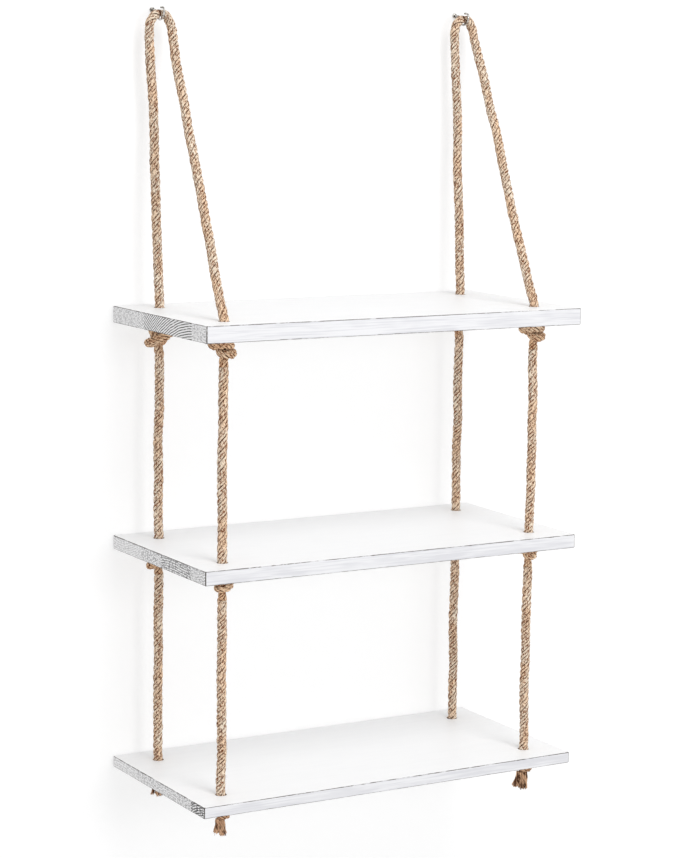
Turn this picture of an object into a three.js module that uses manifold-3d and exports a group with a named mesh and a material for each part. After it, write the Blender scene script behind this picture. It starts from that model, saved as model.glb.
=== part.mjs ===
// A three-tier wall shelf that hangs on two ropes, each laid over a screw hook in the wall.
// Millimetres, +Z up. X runs along the boards and -Y points away from the wall.
// The origin is on the face of the wall, level with the hooks' shanks, over the boards' middle.

import * as THREE from 'three'
import { mergeVertices } from 'three/addons/utils/BufferGeometryUtils.js'
import Module from 'manifold-3d'

const wasm = await Module()
wasm.setup()

const fullTurn = 2 * Math.PI
const rightAngle = fullTurn / 4
const weldDistance = 0.0005
const clearance = 0.3

// Boards, from the top one down
const boardWidth = 460
const boardDepth = 222
const topBoardThickness = 18
const middleBoardThickness = 15
const bottomBoardThickness = 12
const hangHeight = 316
const clearGap = 234
const edgeEase = 0.9
const holeEndInset = 38
const holeRearInset = 36
const holeFrontInset = 36
const holeRoom = 1.5
const holeSides = 16

// Rope
const ropeDiameter = 10
const ropeSides = 10
const ballSides = 12
const ballRings = 8
const bightRadius = 12
const legBendSteps = 9
const legStraightSteps = 1

// Overhand stopper knot: the rope is pulled tight in it, so its strand is thinner there
const strandPressShare = 0.82
const strandSides = 6
const knotSteps = 34
const knotEnd = 2.35
const wrapTurns = 1.5
const wrapRadiusShare = 1.6
const waistRadiusShare = 0.54
const halfHeightShare = 0.75
const flattenShare = 0.96
const taperShare = 0.05
const turnRateShare = 0.46
const turnEaseShare = 0.35
const wrapWidthShare = 1.53
const wrapEdgePower = 5
const waistWidthShare = 2.14
const waistEdgePower = 16
const dipShare = 0.92
const topKnotShare = 1
const middleKnotShare = 0.85
const bottomKnotShare = 0.72

// Unlaid ends under the bottom board
const tailStrands = 3
const tailStrandDiameter = 5.2
const tailSpread = 5.5
const tailLean = 5
const tailLength = 16
const tailRoot = 5
const tailStub = 1.5
const tailSteps = 4
const tailTipShare = 0.8
const tailTurnShare = 0.25

// Screw hooks, which aren't quite over the holes: both stand a little to the right
const hookOffset = 8
const wireDiameter = 2.2
const wireSides = 8
const hookRoom = 3.25
const shankReach = 7.7
const shankBendRadius = 3
const shankBendTurn = fullTurn * 80 / 360
const curlRadius = 3.5
const tipLength = 4
const hookBendSteps = 4
const hookBowlSteps = 13
const screwLength = 20
const screwDiameter = 2.8
const screwPointLength = 5
const screwPointDiameter = 0.5
const collarDiameter = 6
const collarThickness = 1.6
const collarDome = 0.7
const collarSides = 16

// Sizes that follow from those above
const ropeRadius = ropeDiameter / 2
const wireRadius = wireDiameter / 2
const strandDiameter = ropeDiameter * strandPressShare
const strandRadius = strandDiameter / 2
const holeRadius = (ropeDiameter + holeRoom) / 2
const holeX = boardWidth / 2 - holeEndInset
const rearHoleY = -holeRearInset
const frontHoleY = -(boardDepth - holeFrontInset)
const bowlRadius = ropeRadius + hookRoom + wireRadius
const bendDrop = shankBendRadius * (1 - Math.cos(shankBendTurn))
const bowlCentreY = -(shankReach + (shankBendRadius + bowlRadius) * Math.sin(shankBendTurn))
const bowlCentreZ = bowlRadius * Math.cos(shankBendTurn) - bendDrop
const saddleZ = bowlCentreZ - bowlRadius + wireRadius + clearance + ropeRadius
const topBoardTop = -hangHeight
const middleBoardTop = topBoardTop - topBoardThickness - clearGap
const bottomBoardTop = middleBoardTop - middleBoardThickness - clearGap

const paintedWood = new THREE.MeshStandardMaterial({ color: 0xeeeeef, roughness: 0.6, metalness: 0 })
const jute = new THREE.MeshStandardMaterial({ color: 0xc89c72, roughness: 0.9, metalness: 0 })
const nickel = new THREE.MeshStandardMaterial({ color: 0xb9bbbd, roughness: 0.28, metalness: 1 })

// A route's steps follow its own parameter, so a bend can have more of them than a straight.
class Route extends THREE.Curve {
  constructor(stretches) {
    super()
    this.stretches = stretches
    this.steps = stretches.reduce((sum, stretch) => sum + stretch.steps, 0)
  }

  getPoint(t, target = new THREE.Vector3()) {
    let place = t * this.steps
    for (const stretch of this.stretches.slice(0, -1)) {
      if (place <= stretch.steps) {
        return target.copy(stretch.at(place / stretch.steps))
      }
      place -= stretch.steps
    }
    const last = this.stretches.at(-1)
    return target.copy(last.at(place / last.steps))
  }

  getUtoTmapping(u) {
    return u
  }
}

function straight(from, to, steps) {
  return { steps, at: share => from.clone().lerp(to, share) }
}

function bezier(curve, steps) {
  return { steps, at: share => curve.getPoint(share) }
}

function roundSection(radius, sides) {
  const points = []
  for (let i = 0; i < sides; i++) {
    const angle = fullTurn * i / sides
    points.push(new THREE.Vector2(radius * Math.cos(angle), radius * Math.sin(angle)))
  }
  return new THREE.Shape(points)
}

function tube(route, radius, sides) {
  return new THREE.ExtrudeGeometry(roundSection(radius, sides), {
    steps: route.steps,
    bevelEnabled: false,
    extrudePath: route,
  })
}

// Turns a closed geometry into a solid for cutting and joining.
function solidOf(geometry) {
  const bare = geometry.clone()
  bare.deleteAttribute('normal')
  bare.deleteAttribute('uv')
  const merged = mergeVertices(bare, weldDistance)
  const corners = merged.index.array
  const triangles = []
  for (let i = 0; i < corners.length; i += 3) {
    const [a, b, c] = [corners[i], corners[i + 1], corners[i + 2]]
    if (a !== b && b !== c && c !== a) {
      triangles.push(a, b, c)
    }
  }
  return new wasm.Manifold(new wasm.Mesh({
    numProp: 3,
    vertProperties: new Float32Array(merged.attributes.position.array),
    triVerts: new Uint32Array(triangles),
  }))
}

function geometryOf(solid) {
  const mesh = solid.getMesh()
  const geometry = new THREE.BufferGeometry()
  geometry.setAttribute('position', new THREE.BufferAttribute(mesh.vertProperties, mesh.numProp))
  geometry.setIndex(new THREE.BufferAttribute(mesh.triVerts, 1))
  geometry.computeVertexNormals()
  return geometry
}

// The room that a ball of rope turns in: flat facets stay outside the true sphere.
function socketCutter(centre) {
  const radius = (ropeRadius + clearance) / Math.cos(fullTurn / 2 / ballSides)
  const sphere = new THREE.SphereGeometry(radius, ballSides, ballRings)
  return solidOf(sphere.translate(centre.x, centre.y, centre.z))
}

const shelf = new THREE.Group()
shelf.name = 'hanging_rope_shelf'

function place(parent, name, geometry, material, x = 0, y = 0, z = 0) {
  const mesh = new THREE.Mesh(geometry, material)
  mesh.name = name
  mesh.position.set(x, y, z)
  parent.add(mesh)
  return mesh
}

// Each hole of a board, seen from the front, with the side that its rope hangs on.
const corners = [
  { name: 'rear_left', x: -holeX, y: rearHoleY },
  { name: 'front_left', x: -holeX, y: frontHoleY },
  { name: 'rear_right', x: holeX, y: rearHoleY },
  { name: 'front_right', x: holeX, y: frontHoleY },
]

// A board has eased edges, round its outline and at the mouths of its four rope holes.
function boardGeometry(thickness) {
  const outline = new THREE.Shape()
  const halfWidth = boardWidth / 2
  outline.moveTo(-halfWidth + edgeEase, 0)
  outline.lineTo(-halfWidth, -edgeEase)
  outline.lineTo(-halfWidth, -boardDepth + edgeEase)
  outline.lineTo(-halfWidth + edgeEase, -boardDepth)
  outline.lineTo(halfWidth - edgeEase, -boardDepth)
  outline.lineTo(halfWidth, -boardDepth + edgeEase)
  outline.lineTo(halfWidth, -edgeEase)
  outline.lineTo(halfWidth - edgeEase, 0)
  outline.closePath()
  for (const corner of corners) {
    const hole = new THREE.Path()
    hole.absarc(corner.x, corner.y, holeRadius, 0, fullTurn, true)
    outline.holes.push(hole)
  }
  const geometry = new THREE.ExtrudeGeometry(outline, {
    depth: thickness - 2 * edgeEase,
    curveSegments: holeSides / 2,
    bevelEnabled: true,
    bevelSegments: 1,
    bevelSize: edgeEase,
    bevelOffset: -edgeEase,
    bevelThickness: edgeEase,
  })
  return geometry.translate(0, 0, edgeEase - thickness)
}

// The overhand knot's centreline winds one and a half turns and dips back through itself. Its
// sizes go by the strand that it is tied in, and its upper wraps are the wider ones.
function knotPoint(t, strand) {
  const turn = fullTurn * wrapTurns / 2 * Math.tanh(turnRateShare * t * (1 + turnEaseShare * t * t))
  const wrap = Math.exp(-Math.pow(Math.abs(t) / wrapWidthShare, wrapEdgePower))
  const waist = Math.exp(-Math.pow(Math.abs(t) / waistWidthShare, waistEdgePower))
  const wrapped = (wrapRadiusShare - waistRadiusShare) * wrap
  const tapered = 1 + taperShare * wrap * Math.tanh(t)
  const radiusShare = (waistRadiusShare * waist + wrapped) * tapered
  const riseShare = halfHeightShare * (3 * t - dipShare * t * t * t) / 2
  return new THREE.Vector3(
    strand * radiusShare * Math.cos(turn) * flattenShare,
    strand * radiusShare * Math.sin(turn),
    strand * riseShare,
  )
}

// A board's knot: how far its middle lies under the wood, and how far under that the next rope turns.
function knotMeasures(share) {
  const strand = strandDiameter * share
  const samples = 600
  const points = []
  for (let i = 0; i <= samples; i++) {
    points.push(knotPoint(knotEnd * (2 * i / samples - 1), strand))
  }
  let wrapHeight = 0
  for (let i = 0; i <= samples; i++) {
    const wrapped = Math.abs(2 * i / samples - 1) * knotEnd < wrapWidthShare
    wrapHeight = wrapped ? Math.max(wrapHeight, points[i].z) : wrapHeight
  }
  let leastGap = Infinity
  const run = [0]
  for (let i = 1; i <= samples; i++) {
    run.push(run[i - 1] + points[i].distanceTo(points[i - 1]))
  }
  for (let i = 0; i <= samples; i++) {
    for (let j = i + 1; j <= samples; j++) {
      if (run[j] - run[i] > 2 * strand) {
        leastGap = Math.min(leastGap, points[i].distanceTo(points[j]) - strand)
      }
    }
  }
  const reach = points[0].z
  const drop = wrapHeight + strand / 2 + clearance
  return { strand, drop, reach, pivotDrop: reach + ropeRadius, leastGap }
}

// A knot with its neck up in the board's hole and its exit below, where a socket takes a ball.
function knotGeometry(knot, thickness, exitLength, socket) {
  const neckTop = knot.drop + thickness - ropeRadius - clearance
  const at = t => knotPoint(t, knot.strand)
  const route = new Route([
    straight(new THREE.Vector3(0, 0, neckTop), at(-knotEnd), 1),
    { steps: knotSteps, at: share => at(knotEnd * (2 * share - 1)) },
    straight(at(knotEnd), new THREE.Vector3(0, 0, -exitLength), 1),
  ])
  const strand = tube(route, knot.strand / 2, strandSides)
  if (!socket) {
    return strand
  }
  const cutter = socketCutter(new THREE.Vector3(0, 0, -knot.pivotDrop))
  return geometryOf(solidOf(strand).subtract(cutter))
}

// A straight rope with a ball at each end, from z = 0 down.
function stretchGeometry(length) {
  const profile = new THREE.Path()
  profile.absarc(0, -length, ropeRadius, -rightAngle, 0, false)
  profile.absarc(0, 0, ropeRadius, 0, rightAngle, false)
  const points = profile.getPoints(ballRings / 4)
  points[0].x = 0
  points.at(-1).x = 0
  return new THREE.LatheGeometry(points, ropeSides).rotateX(rightAngle)
}

// One leg of a hung rope: from the saddle it bends over the hook's wire and runs to its hole,
// where it ends in a ball. Coordinates are taken from the saddle.
function legGeometry(side, holeY) {
  const saddle = new THREE.Vector3(0, 0, 0)
  const hole = new THREE.Vector3(-hookOffset, holeY - bowlCentreY, topBoardTop - saddleZ)
  const shoulder = new THREE.Vector3(side * bightRadius, 0, -bightRadius)
  const along = hole.clone().sub(shoulder).normalize()
  const handle = bightRadius * 4 / 3 * Math.tan(rightAngle / 4)
  shoulder.addScaledVector(along, handle)
  const bend = new THREE.CubicBezierCurve3(
    saddle,
    new THREE.Vector3(side * handle, 0, 0),
    shoulder.clone().addScaledVector(along, -2 * handle),
    shoulder,
  )
  const route = new Route([bezier(bend, legBendSteps), straight(shoulder, hole, legStraightSteps)])
  const ball = new THREE.SphereGeometry(ropeRadius, ballSides, ballRings)
  ball.translate(hole.x, hole.y, hole.z)
  const leg = solidOf(tube(route, ropeRadius, ropeSides)).add(solidOf(ball))
  return geometryOf(leg.subtract(socketCutter(saddle)))
}

// The rope's end below the last knot, unlaid into strands that spread and lean to one side.
function tailGeometry(lean) {
  const root = new Route([
    straight(new THREE.Vector3(0, 0, 0), new THREE.Vector3(0, 0, -tailRoot), 1),
  ])
  let tail = solidOf(tube(root, strandRadius, ropeSides))
  for (let i = 0; i < tailStrands; i++) {
    const angle = fullTurn * (i + tailTurnShare) / tailStrands
    const out = new THREE.Vector3(Math.cos(angle), Math.sin(angle), 0)
    const start = out.clone().multiplyScalar((strandDiameter - tailStrandDiameter) / 2)
    start.z = -tailRoot / 2
    const end = out.clone().multiplyScalar(tailSpread)
    end.x += lean * tailLean
    end.z = -(i % 2 ? tailTipShare : 1) * tailLength
    const middle = start.clone().lerp(end, 1 / 2).addScaledVector(out, tailStrandDiameter / 4)
    const route = new Route([bezier(new THREE.QuadraticBezierCurve3(start, middle, end), tailSteps)])
    tail = tail.add(solidOf(tube(route, tailStrandDiameter / 2, strandSides)))
  }
  return geometryOf(tail)
}

// The hook's wire in the plane across the wall: out, down into the bowl, up and back over it.
function hookRoute() {
  const arc = (centreY, centreZ, radius, from, to, steps) => ({
    steps,
    at: share => {
      const angle = from + (to - from) * share
      return new THREE.Vector3(0, centreY - radius * Math.sin(angle), centreZ - radius * Math.cos(angle))
    },
  })
  const curlCentreY = bowlCentreY - bowlRadius + curlRadius
  const halfTurn = 2 * rightAngle
  return new Route([
    straight(new THREE.Vector3(0, collarThickness, 0), new THREE.Vector3(0, -shankReach, 0), 1),
    arc(-shankReach, -shankBendRadius, shankBendRadius, halfTurn, halfTurn - shankBendTurn, hookBendSteps),
    arc(bowlCentreY, bowlCentreZ, bowlRadius, -shankBendTurn, rightAngle, hookBowlSteps),
    arc(curlCentreY, bowlCentreZ, curlRadius, rightAngle, halfTurn, hookBendSteps),
    straight(
      new THREE.Vector3(0, curlCentreY, bowlCentreZ + curlRadius),
      new THREE.Vector3(0, curlCentreY + tipLength, bowlCentreZ + curlRadius),
      1,
    ),
  ])
}

function hookGeometry() {
  const route = hookRoute()
  const tip = new THREE.SphereGeometry(wireRadius, wireSides, ballRings)
  const tipPlace = route.getPoint(1)
  tip.translate(tipPlace.x, tipPlace.y, tipPlace.z)
  const screw = new THREE.LatheGeometry([
    new THREE.Vector2(0, 0),
    new THREE.Vector2(screwDiameter / 2, 0),
    new THREE.Vector2(screwDiameter / 2, screwLength - screwPointLength),
    new THREE.Vector2(screwPointDiameter / 2, screwLength),
    new THREE.Vector2(0, screwLength),
  ], wireSides)
  return geometryOf(solidOf(tube(route, wireRadius, wireSides)).add(solidOf(tip)).add(solidOf(screw)))
}

// The collar is a small domed cup round the shank, with its flat rear face on the wall.
function collarGeometry() {
  const bore = wireRadius / Math.cos(fullTurn / 2 / collarSides) + clearance
  const rim = collarDiameter / 2
  return new THREE.LatheGeometry([
    new THREE.Vector2(bore, -collarThickness),
    new THREE.Vector2(rim - collarDome, -collarThickness),
    new THREE.Vector2(rim, -collarThickness + collarDome),
    new THREE.Vector2(rim, 0),
    new THREE.Vector2(bore, 0),
    new THREE.Vector2(bore, -collarThickness),
  ], collarSides)
}

// The ropes under a board are named after the tier that they lead to.
const boards = [
  {
    name: 'top',
    top: topBoardTop,
    thickness: topBoardThickness,
    knotShare: topKnotShare,
    rope: 'middle',
    ropeEnd: middleBoardTop,
  },
  {
    name: 'middle',
    top: middleBoardTop,
    thickness: middleBoardThickness,
    knotShare: middleKnotShare,
    rope: 'lower',
    ropeEnd: bottomBoardTop,
  },
  {
    name: 'bottom',
    top: bottomBoardTop,
    thickness: bottomBoardThickness,
    knotShare: bottomKnotShare,
  },
]

// How far each knot is turned about its rope, corner by corner, as shares of a full turn.
const knotTurnShares = [0.73, 0.23, 0.66, 0.25]
const tailLeanShares = [-0.3, 0, 0.4, -0.8]

for (const board of boards) {
  const group = new THREE.Group()
  group.position.z = board.top
  shelf.add(group)
  place(group, `${board.name}_board`, boardGeometry(board.thickness), paintedWood)
  const knot = knotMeasures(board.knotShare)
  console.log(`least gap of the ${board.name} knots' strand to itself: ${knot.leastGap.toFixed(2)} mm`)
  const knotZ = -board.thickness - knot.drop
  corners.forEach((corner, i) => {
    const exitLength = board.rope ? knot.pivotDrop : knot.reach + tailStub
    const geometry = knotGeometry(knot, board.thickness, exitLength, Boolean(board.rope))
    const mesh = place(group, `${board.name}_knot_${corner.name}`, geometry, jute, corner.x, corner.y, knotZ)
    mesh.rotation.z = fullTurn * knotTurnShares[i]
    if (board.rope) {
      const pivotZ = knotZ - knot.pivotDrop
      const length = board.top + pivotZ - board.ropeEnd
      const stretch = stretchGeometry(length)
      place(group, `${board.rope}_rope_${corner.name}`, stretch, jute, corner.x, corner.y, pivotZ)
    } else {
      const tailZ = knotZ - exitLength - clearance
      const tail = tailGeometry(tailLeanShares[i])
      place(group, `tail_${corner.name}`, tail, jute, corner.x, corner.y, tailZ)
    }
  })
}

for (const [name, x] of [['left', -holeX], ['right', holeX]]) {
  const group = new THREE.Group()
  group.position.x = x + hookOffset
  shelf.add(group)
  place(group, `hook_${name}`, hookGeometry(), nickel)
  place(group, `hook_collar_${name}`, collarGeometry(), nickel)
  const crown = new THREE.SphereGeometry(ropeRadius, ballSides, ballRings)
  place(group, `rope_crown_${name}`, crown, jute, 0, bowlCentreY, saddleZ)
  const rearLeg = legGeometry(-1, rearHoleY)
  place(group, `upper_rope_rear_${name}`, rearLeg, jute, 0, bowlCentreY, saddleZ)
  const frontLeg = legGeometry(1, frontHoleY)
  place(group, `upper_rope_front_${name}`, frontLeg, jute, 0, bowlCentreY, saddleZ)
}

export default shelf
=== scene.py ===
"""A hanging rope shelf: laid jute ropes with stopper knots, white painted boards and nickel hooks."""
import math

import bpy
import numpy as np
from mathutils import Matrix, Vector
from mathutils.geometry import delaunay_2d_cdt


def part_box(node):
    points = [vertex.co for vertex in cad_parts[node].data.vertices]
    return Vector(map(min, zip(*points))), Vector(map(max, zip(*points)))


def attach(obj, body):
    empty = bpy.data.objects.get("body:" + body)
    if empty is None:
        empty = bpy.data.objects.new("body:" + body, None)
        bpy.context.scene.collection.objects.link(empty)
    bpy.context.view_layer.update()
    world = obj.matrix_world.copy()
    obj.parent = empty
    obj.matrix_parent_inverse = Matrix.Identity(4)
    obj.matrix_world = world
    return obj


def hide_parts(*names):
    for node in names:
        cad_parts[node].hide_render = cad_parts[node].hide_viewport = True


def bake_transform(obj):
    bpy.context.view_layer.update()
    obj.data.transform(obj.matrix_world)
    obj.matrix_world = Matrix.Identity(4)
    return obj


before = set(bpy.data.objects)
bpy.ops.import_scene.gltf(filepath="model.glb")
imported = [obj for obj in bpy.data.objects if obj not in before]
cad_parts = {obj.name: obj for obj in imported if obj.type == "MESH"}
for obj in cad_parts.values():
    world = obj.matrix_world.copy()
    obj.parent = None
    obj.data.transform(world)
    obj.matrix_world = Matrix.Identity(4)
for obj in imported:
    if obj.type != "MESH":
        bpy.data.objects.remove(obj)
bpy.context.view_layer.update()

mm = 0.001
full_turn = 2 * math.pi
down = np.array([0.0, 0.0, -1.0])
sides = ("left", "right")
rows = ("rear", "front")
corner_names = [f"{row}_{side}" for side in sides for row in rows]

# Camera, fitted to the photograph's 679 by 858 pixels
photo_height = 858
camera_place = (-1.395, -2.495, -0.035)
camera_yaw = math.radians(30.16)
camera_pitch = math.radians(-8.55)
camera_roll = math.radians(0.75)
camera_focal_pixels = 2551
sensor = 36

# Rope: rope_radius is taken over the crowns of its strands, and core_radius is the solids' own
rope_radius = 5.2 * mm
core_radius = 5.0 * mm
bight_radius = 12 * mm
bend_points = 24
entry_bend = 26 * mm
entry_points = 16
rope_into_hole = 5 * mm
hole_pinch = 0.13
wire_dent = 0.24
wire_dent_reach = 2.6 * mm
seam_below_pivot = 1.5 * mm
ring_step = 1.0 * mm

# Lay of the strands, with a painted contact shadow on each side of a hook's wire
strands = 3
lobe_points = 10
lobe_power = 3.6
lay_length = 26.5 * mm
crease_share = 0.68
wire_shadow_depth = 1.6
wire_shadow_reach = 1.4 * mm
wire_shadow_gap = 0.9 * mm

# Natural wander of a rope, each kind blurred over a number of its rings
lay_wander = 0.1
lay_wander_rings = 16
thickness_wander = 0.035
thickness_wander_rings = 5
even_end = 6 * mm
line_wander = 0.7 * mm
line_wander_rings = 26
line_wander_power = 0.7
blur_spans = 3
noise_limit = 2

# Loose fibres, with radii in millimetres. They stay some rings away from ends, wires and knots
fuzz_per_metre = 1500
knot_fuzz_per_metre = 1300
fuzz_reach = 2.6 * mm
fuzz_rise = (0.25, 1.0)
fuzz_bend = (0.5, 1.1)
fuzz_radii = (0.045, 0.085)
fuzz_run = 2.2 * mm
fuzz_turn = 1.6 * mm
fuzz_root_share = 0.86
fuzz_bend_share = 0.35
fuzz_lean = 0.3
fuzz_shrink = np.array([1.0, 0.9, 0.7, 0.35])
fuzz_sides = 3
fuzz_off_end = 3
fuzz_off_hole = 6
fuzz_off_wire = 8
fuzz_off_knot = 12
fuzz_off_neck = 20
fuzz_off_exit = 4
tone_span = 50

# Overhand stopper knot, in strand diameters of the pressed rope
knot_strand = 8.2 * mm
pressed_share = 0.565
knot_end = 2.35
wrap_turns = 1.5
waist_radius = 0.5
flatten = 0.96
turn_rate = 0.46
turn_ease = 0.35
wrap_width = 1.53
wrap_power = 5
waist_width = 2.14
waist_power = 16
dip = 0.92
# Size share, wrap radius, half height and taper of the knots under each board's rear and front holes
knot_forms = {
    "top": {"rear": (1.04, 1.46, 0.92, 0.1), "front": (1.0, 1.34, 0.64, 0.2)},
    "middle": {"rear": (0.92, 1.52, 0.75, 0.2), "front": (0.85, 1.3, 0.55, 0.45)},
    "bottom": {"rear": (0.72, 1.34, 0.7, 0.2), "front": (0.74, 1.34, 0.56, 0.2)},
}
knot_turns = {"rear_left": 0.73, "front_left": 0.23, "rear_right": 0.66, "front_right": 0.25}
odd_knot_turns = {("middle", "front_left"): 0.98}
knot_points = 240
wrap_samples = 300
knot_step = 0.9 * mm
exit_growth = 9 * mm
under_board_gap = 0.15 * mm
hole_wall_room = 0.4 * mm
neck_gap = 1.5 * mm
# Painted shade in the tucks between a knot's wraps
tuck_shade_depth = 1.5
tuck_shade_reach = 0.9 * mm
tuck_own_reach = 3.4

# Frayed ends: tufts of yarns and finer fibres. Each tail has its lean to the right as a share of
# tail_lean_reach, its length as a share of its solid's, and its bulk
tail_forms = {"rear_left": (-0.3, 0.42, 1.0), "front_left": (0.0, 0.67, 1.0),
              "rear_right": (0.4, 0.65, 1.0), "front_right": (-0.8, 0.74, 1.28)}
tail_over_rope = 7.5 * mm
tail_lean_reach = 4 * mm
tail_lean_power = 1.5
tail_core = 2.2 * mm
tail_spread = 4.1 * mm
tail_spread_power = 1.3
tuft_radius = 3.1 * mm
tuft_turn = 0.25
tail_twist = 1.6
tail_flare = 0.25
tail_short_share = 0.93
tail_rings = 12
tail_sides = 7
tail_yarns = 15
tail_fibres = 14
tail_mottle = 0.28
golden = 0.618034
# Lengths as shares, wander of the line, and radii in millimetres
yarn_lengths = (0.91, 1.0)
yarn_wander = 0.12 * mm
yarn_radii = (0.5, 0.72)
yarn_swell = 0.12
yarn_swells = 9
yarn_tip = 0.7
fibre_lengths = (0.88, 1.04)
fibre_wander = 0.16 * mm
fibre_radii = (0.16, 0.26)
fibre_tip = 0.6

# First seeds of the random draws, and how far a rope's pattern is shifted for each step of its seed
upper_seeds = {"left": 1, "right": 3}
knot_seeds = {"top": 5, "middle": 11, "bottom": 17}
tail_seed = 40
board_seed = 30
upper_wander_seed = 200
stretch_wander_seed = 300
upper_fuzz_seed = 20
knot_fuzz_seeds = {"top": 66, "middle": 65, "bottom": 71}
stretch_fuzz_seeds = {"middle": 90, "lower": 89}
pattern_seed = 7
upper_shift = 40
knot_shift = 30
stretch_shift = 50

# Hook wire, screw and collar
wire_radius = 1.1 * mm
wire_step = 0.6 * mm
wire_sides = 24
hook_room = 3.25 * mm
shank_reach = 7.7 * mm
shank_bend_radius = 3 * mm
shank_bend_turn = math.radians(80)
shank_bend_points = 9
bowl_points = 40
curl_radius = 3.5 * mm
curl_points = 12
tip_length = 4 * mm
tip_rings = 6
tip_flat = 0.15
tip_end_share = 0.004
screw_length = 20 * mm
screw_radius = 1.4 * mm
screw_point = 5 * mm
screw_point_share = 0.12
screw_rings = 150
screw_sides = 28
thread_start = 5 * mm
thread_pitch = 1.7 * mm
thread_depth = 0.4 * mm
thread_width = 0.3
collar_radius = 3.0 * mm
collar_height = 1.6 * mm
collar_gap = 0.1 * mm
collar_ease = 0.15 * mm
collar_rim = 0.3 * mm
collar_dome = 1.3 * mm
dome_points = 9
collar_sides = 48

# Boards: eased edges with small bites, which are worn most at the corners, and eased rope holes
corner_radius = 1.3 * mm
corner_wear_shares = (0.0, 0.6, 1.0, 1.0, 0.6, 0.0)
corner_wear = 0.3 * mm
corner_worn = 1.3
edge_radius = 0.9 * mm
edge_wander = 0.12
edge_wander_places = 5
edge_limit_share = 0.9
edge_worn = (0.25, 0.75)
bite_depth = 0.55 * mm
bite_from = 1.35
bite_places = 2
quarter_rings = 6
below_edge = 0.8 * mm
edge_step = 2.0 * mm
hole_radius = 5.75 * mm
hole_ease = 0.7 * mm
hole_sides = 40
merge_distance = 1e-7
ring_spacing = 2.6
ring_wobble = 2.6
# Each stave from the rear: where it ends as a share of the depth, how strongly rings and pores show,
# and the middle of its rings, in millimetres ahead of its rear edge and above the board's underside
board_staves = {
    "top": ((0.34, 0.25, 0.42, 90, 60), (0.85, 1.0, 0.12, 122, -122), (1.0, 0.12, 0.5, 10, -90)),
    "middle": ((0.32, 0.2, 0.3, 20, 90), (0.53, 0.2, 0.6, 10, -60), (0.85, 0.6, 0.75, 30, -220),
               (1.0, 0.25, 0.5, 5, 70)),
    "bottom": ((0.27, 0.12, 0.35, 20, -120), (0.6, 0.2, 0.5, 60, 110), (0.86, 0.22, 0.55, 10, -70),
               (1.0, 0.95, 1.0, 40, -60)),
}
first_grain = 3.0
grain_shift = 2.7

# Studio: the wall stands just behind the boards' rear edges
wall_y = 0.8 * mm
floor_z = -1.7
backdrop_reach = 6.0
backdrop_grey = 0.45
backdrop_glow = 0.575
lamp_target = (0, -0.1, -0.5)
world_colour = (0.99, 0.995, 1.0, 1)
world_strength = 0.78


def box_of(node):
    low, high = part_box(node)
    return np.array(low), np.array(high)


def middle_of(node):
    low, high = box_of(node)
    return (low + high) / 2


def hole_place(corner, board):
    """Where a rope goes into the top of a board."""
    x, y, _ = middle_of(f"middle_rope_{corner}")
    return np.array([x, y, box_of(board)[1][2]])


def add_camera():
    camera = bpy.data.objects.new("camera", bpy.data.cameras.new("camera"))
    camera.data.sensor_width = sensor
    camera.data.lens = camera_focal_pixels / photo_height * sensor
    turn = (Matrix.Rotation(-camera_yaw, 4, "Z") @ Matrix.Rotation(math.pi / 2 + camera_pitch, 4, "X")
            @ Matrix.Rotation(camera_roll, 4, "Z"))
    camera.matrix_world = Matrix.Translation(camera_place) @ turn
    bpy.context.scene.collection.objects.link(camera)
    bpy.context.scene.camera = camera


add_camera()


# Lines and meshes

def run_along(line):
    """How far along a line each of its points lies."""
    return np.concatenate([[0], np.cumsum(np.linalg.norm(np.diff(line, axis=0), axis=1))])


def resample(line, step):
    """The same line with points an even step apart."""
    run = run_along(line)
    count = max(3, int(round(run[-1] / step)) + 1)
    at = np.linspace(0, run[-1], count)
    return np.stack([np.interp(at, run, line[:, k]) for k in range(3)], axis=1)


def length_of(line):
    return float(np.linalg.norm(np.diff(line, axis=0), axis=1).sum())


def frames_along(line, first=(1, 0, 0)):
    """For each point of a line: the way ahead, and two directions across it that don't twist."""
    ahead = np.gradient(line, axis=0)
    ahead /= np.linalg.norm(ahead, axis=1)[:, None]
    across = np.empty_like(line)
    guess = np.array(first, float)
    for i, way in enumerate(ahead):
        guess = guess - guess @ way * way
        guess = guess / np.linalg.norm(guess)
        across[i] = guess
    return ahead, across, np.cross(ahead, across)


def band(first, second, points, inward=False):
    """Quads between two rings of points, which start at two places in a mesh."""
    faces = []
    for j in range(points):
        k = (j + 1) % points
        if inward:
            faces.append((first + j, second + j, second + k, first + k))
        else:
            faces.append((first + j, first + k, second + k, second + j))
    return faces


def rings_to_faces(rings, points, first=0):
    """Quads between rings of points, and a flat cap at each end."""
    faces = []
    for i in range(rings - 1):
        faces += band(first + i * points, first + (i + 1) * points, points)
    last = first + (rings - 1) * points
    faces.append(tuple(range(first + points - 1, first - 1, -1)))
    faces.append(tuple(range(last, last + points)))
    return faces


def new_piece(name, points, faces, material, **attributes):
    """A smooth-shaded mesh object, with values and vectors stored on its points."""
    mesh = bpy.data.meshes.new(name)
    mesh.from_pydata(np.asarray(points).tolist(), [], faces)
    mesh.polygons.foreach_set("use_smooth", [True] * len(mesh.polygons))
    for key, data in attributes.items():
        kind, field = ("FLOAT_VECTOR", "vector") if key == "straight" else ("FLOAT", "value")
        mesh.attributes.new(key, kind, "POINT").data.foreach_set(field, np.float32(data).ravel())
    mesh.materials.append(material)
    mesh.update()
    piece = bpy.data.objects.new(name, mesh)
    bpy.context.scene.collection.objects.link(piece)
    return piece


def tube_points(line, radii, points, first=(1, 0, 0)):
    """Rings of points round a line."""
    _, across, aside = frames_along(line, first)
    angles = np.linspace(0, full_turn, points, endpoint=False)
    ring = np.cos(angles)[None, :, None] * across[:, None] + np.sin(angles)[None, :, None] * aside[:, None]
    return (line[:, None] + np.asarray(radii)[:, None, None] * ring).reshape(-1, 3)


# Materials

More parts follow.
